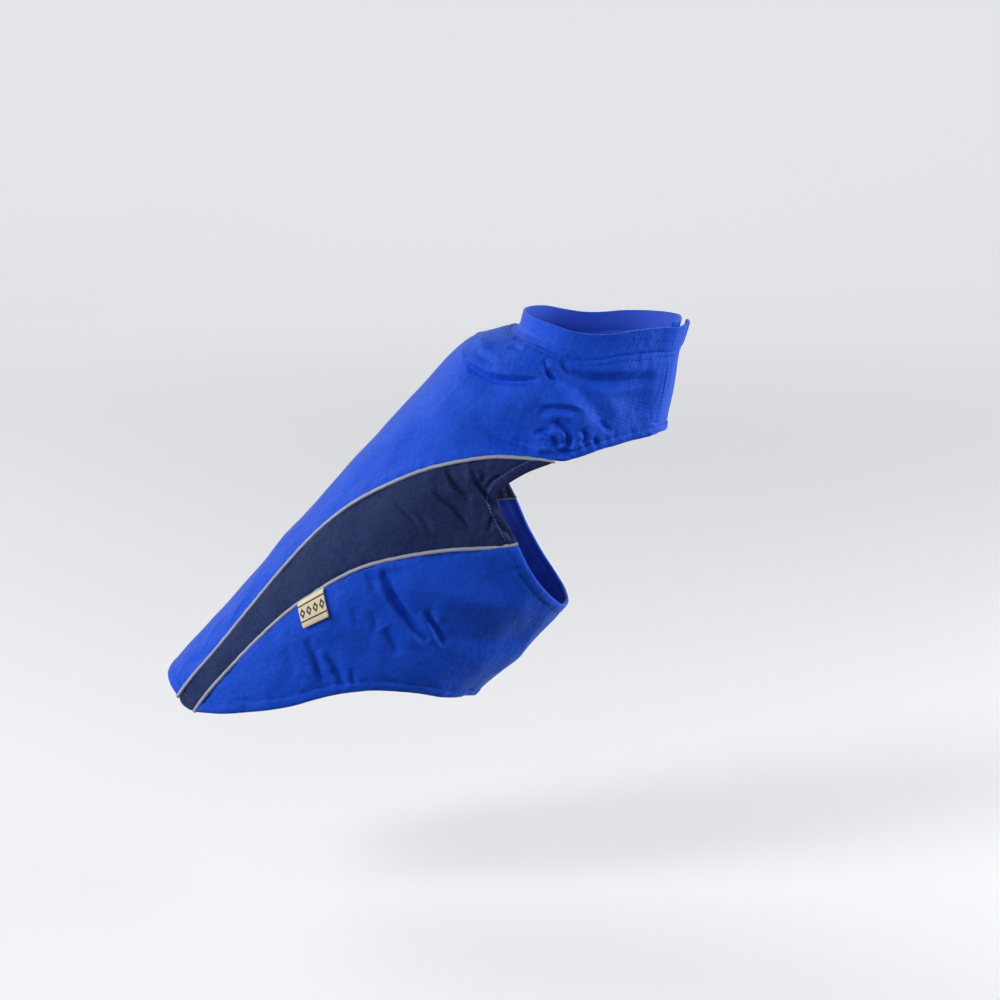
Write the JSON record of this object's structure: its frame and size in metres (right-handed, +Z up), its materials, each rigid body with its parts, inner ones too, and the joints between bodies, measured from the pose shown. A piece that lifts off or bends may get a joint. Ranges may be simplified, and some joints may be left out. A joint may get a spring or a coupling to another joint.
{
  "type": "dog coat",
  "caption": "Blue cape coat for a small dog, in worn form, with navy side inserts, grey piping, a stand collar and a lapped front.",
  "frame": {"origin": "at the withers, on the inner face of the cloth, where the back of the sitting dog carries the coat", "axes": "+X towards the wearer's head, -Y the wearer's right side, +Z up"},
  "size_m": [0.2846, 0.123, 0.2133],
  "materials": {
    "royal_polyester": "satin weave",
    "navy_polyester": "satin weave",
    "reflective_piping": "retro-reflective grey",
    "hook_and_loop": "pile",
    "woven_label": "plain woven tape"
  },
  "bodies": {
    "root": {"back_panel": "royal_polyester", "neckband": "royal_polyester", "belly_panel": "royal_polyester", "side_panel_right": "navy_polyester", "side_panel_left": "navy_polyester", "piping_upper_right": "reflective_piping", "piping_lower_right": "reflective_piping", "piping_upper_left": "reflective_piping", "piping_lower_left": "reflective_piping", "front_hook_tape": "hook_and_loop", "front_loop_tape": "hook_and_loop", "woven_label": "woven_label"}
  },
  "joints": []
}
